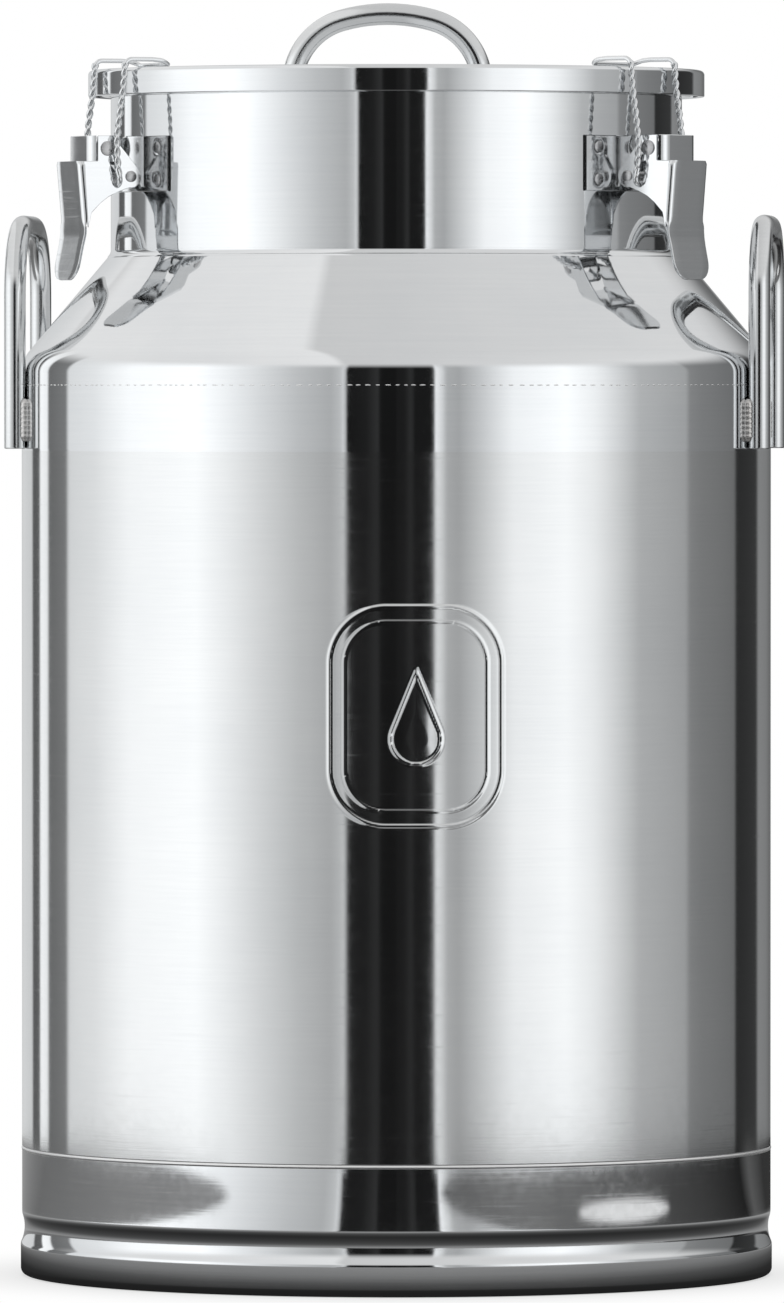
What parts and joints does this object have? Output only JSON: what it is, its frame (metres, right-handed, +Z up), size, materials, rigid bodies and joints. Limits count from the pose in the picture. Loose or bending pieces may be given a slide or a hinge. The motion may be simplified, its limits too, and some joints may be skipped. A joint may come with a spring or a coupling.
{
  "type": "milk can",
  "caption": "Stainless-steel milk can with foot ring, side handles, a lift-off sealed lid and over-centre wire latches.",
  "frame": {"origin": "centre of the foot ring's underside, on the can's axis", "axes": "+Z up along the can's axis, -Y towards the embossed front, side handles on +X and -X"},
  "size_m": [0.333, 0.3279, 0.554],
  "materials": {
    "satin_barrel": "fine circumferential brushing",
    "polished_base": "polished",
    "polished_shoulder": "polished",
    "polished_lid": "polished",
    "weld_steel": "ground weld",
    "handle_bar": "polished bar",
    "latch_plate": "satin sheet",
    "latch_lever": "polished sheet",
    "latch_pin": "riveted pin",
    "bail_wire": "bright twisted wire",
    "gasket": "food-grade silicone"
  },
  "bodies": {
    "can": {"barrel": "satin_barrel", "bottom_pan": "polished_base", "foot_ring": "polished_base", "shoulder": "polished_shoulder", "neck": "polished_shoulder", "neck_rim": "polished_shoulder", "bottom_seam": "weld_steel", "shoulder_seam": "weld_steel", "neck_seam": "weld_steel", "side_handle_left": "handle_bar", "side_handle_right": "handle_bar", "handle_welds": "weld_steel", "latch_base_left": "latch_plate", "latch_base_right": "latch_plate", "latch_base_rear": "latch_plate", "latch_spot_welds": "weld_steel"},
    "lid": {"lid_shell": "polished_lid", "lid_gasket": "gasket", "lid_handle": "handle_bar", "lid_handle_welds": "weld_steel"},
    "lever_left": {"lever_left": "latch_lever", "pivot_pin_left": "latch_pin", "spacer_pin_left": "latch_pin"},
    "bail_left": {"bail_left": "bail_wire"},
    "lever_right": {"lever_right": "latch_lever", "pivot_pin_right": "latch_pin", "spacer_pin_right": "latch_pin"},
    "bail_right": {"bail_right": "bail_wire"},
    "lever_rear": {"lever_rear": "latch_lever", "pivot_pin_rear": "latch_pin", "spacer_pin_rear": "latch_pin"},
    "bail_rear": {"bail_rear": "bail_wire"}
  },
  "joints": [
    {"name": "lid_lift", "type": "slide", "parent": "can", "child": "lid", "axis": [0, 0, 1], "range_m": [0, 0.026]},
    {"name": "lever_left_hinge", "type": "hinge", "parent": "can", "child": "lever_left", "pos_m": [-0.12341, -0.07125, 0.4895], "axis": [-0.5, 0.866, 0], "range_deg": [0, 150]},
    {"name": "bail_left_hinge", "type": "hinge", "parent": "lever_left", "child": "bail_left", "pos_m": [-0.11968, -0.0691, 0.474], "axis": [-0.5, 0.866, 0], "range_deg": [-330, 0]},
    {"name": "lever_right_hinge", "type": "hinge", "parent": "can", "child": "lever_right", "pos_m": [0.12341, -0.07125, 0.4895], "axis": [-0.5, -0.866, 0], "range_deg": [0, 150]},
    {"name": "bail_right_hinge", "type": "hinge", "parent": "lever_right", "child": "bail_right", "pos_m": [0.11968, -0.0691, 0.474], "axis": [-0.5, -0.866, 0], "range_deg": [-330, 0]},
    {"name": "lever_rear_hinge", "type": "hinge", "parent": "can", "child": "lever_rear", "pos_m": [0, 0.1425, 0.4895], "axis": [1, 0, 0], "range_deg": [0, 150]},
    {"name": "bail_rear_hinge", "type": "hinge", "parent": "lever_rear", "child": "bail_rear", "pos_m": [0, 0.1382, 0.474], "axis": [1, 0, 0], "range_deg": [-330, 0]}
  ],
  "couplings": [
    {"joint": "lever_left_hinge", "follows": "lid_lift", "rad_per_m": 100},
    {"joint": "bail_left_hinge", "follows": "lid_lift", "rad_per_m": -220},
    {"joint": "lever_right_hinge", "follows": "lid_lift", "rad_per_m": 100},
    {"joint": "bail_right_hinge", "follows": "lid_lift", "rad_per_m": -220},
    {"joint": "lever_rear_hinge", "follows": "lid_lift", "rad_per_m": 100},
    {"joint": "bail_rear_hinge", "follows": "lid_lift", "rad_per_m": -220}
  ]
}
